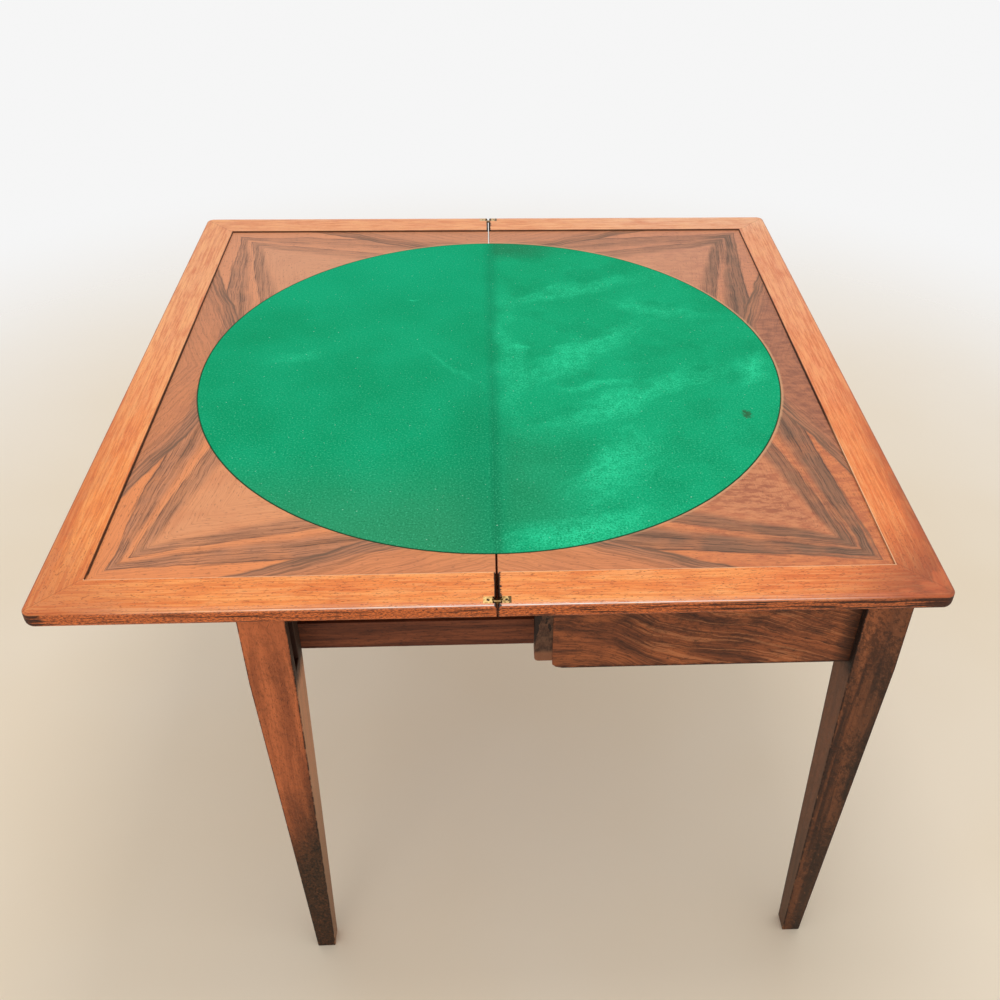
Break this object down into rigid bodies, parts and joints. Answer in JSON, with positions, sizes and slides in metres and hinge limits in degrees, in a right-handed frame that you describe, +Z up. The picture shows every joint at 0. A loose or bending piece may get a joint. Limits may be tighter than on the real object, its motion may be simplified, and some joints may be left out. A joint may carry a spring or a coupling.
{
  "type": "extending game table",
  "caption": "Fold-over walnut card table, opened: square top in two hinged leaves with a round green baize, on tapered legs, with a sliding frame that carries the opened leaf.",
  "frame": {"origin": "on the floor, below the middle of the fold", "axes": "+X across the fold, from the sliding legs to the fixed legs; +Y along the fold; +Z up"},
  "size_m": [0.95, 0.954, 0.73],
  "materials": {
    "leg_wood": "waxed",
    "rail_wood": "waxed",
    "rim_wood": "polished",
    "field_veneer": "polished",
    "apron_veneer": "polished",
    "inner_wood": "bare",
    "baize": "napped",
    "brass": "worn",
    "steel": "dull"
  },
  "bodies": {
    "frame": {"near_fixed_leg": "leg_wood", "far_fixed_leg": "leg_wood", "near_apron": "rail_wood", "near_apron_facing": "apron_veneer", "far_apron": "rail_wood", "far_apron_facing": "apron_veneer", "long_apron": "rail_wood", "long_apron_facing": "apron_veneer", "cross_rail": "inner_wood", "near_guide": "inner_wood", "far_guide": "inner_wood", "near_corner_block": "inner_wood", "far_corner_block": "inner_wood", "glue_blocks": "inner_wood", "fixed_core": "inner_wood", "fixed_outer_rim": "rim_wood", "fixed_near_rim": "rim_wood", "fixed_far_rim": "rim_wood", "fixed_outer_veneer": "field_veneer", "fixed_near_veneer": "field_veneer", "fixed_far_veneer": "field_veneer", "fixed_baize": "baize", "near_fixed_plate": "brass", "far_fixed_plate": "brass", "near_fixed_screw": "steel", "far_fixed_screw": "steel"},
    "sliding_frame": {"near_sliding_leg": "leg_wood", "far_sliding_leg": "leg_wood", "end_rail": "rail_wood", "near_slider": "rail_wood", "far_slider": "rail_wood", "slider_tie": "inner_wood"},
    "folding_leaf": {"leaf_core": "inner_wood", "leaf_outer_rim": "rim_wood", "leaf_near_rim": "rim_wood", "leaf_far_rim": "rim_wood", "leaf_outer_veneer": "field_veneer", "leaf_near_veneer": "field_veneer", "leaf_far_veneer": "field_veneer", "leaf_baize": "baize", "near_leaf_plate": "brass", "far_leaf_plate": "brass", "near_leaf_screw": "steel", "far_leaf_screw": "steel"},
    "near_link": {"near_link": "brass", "near_pins": "steel"},
    "far_link": {"far_link": "brass", "far_pins": "steel"}
  },
  "joints": [
    {"name": "frame_slide", "type": "slide", "parent": "frame", "child": "sliding_frame", "axis": [1, 0, 0], "range_m": [0, 0.2875]},
    {"name": "near_link_turn", "type": "hinge", "parent": "frame", "child": "near_link", "pos_m": [0.0036, -0.469, 0.7266], "axis": [0, 1, 0], "range_deg": [0, 90]},
    {"name": "leaf_fold", "type": "hinge", "parent": "near_link", "child": "folding_leaf", "pos_m": [-0.0036, -0.469, 0.7266], "axis": [0, 1, 0], "range_deg": [0, 90]},
    {"name": "far_link_turn", "type": "hinge", "parent": "frame", "child": "far_link", "pos_m": [0.0036, 0.469, 0.7266], "axis": [0, 1, 0], "range_deg": [0, 90]}
  ],
  "couplings": [
    {"joint": "far_link_turn", "follows": "near_link_turn", "ratio": 1}
  ]
}
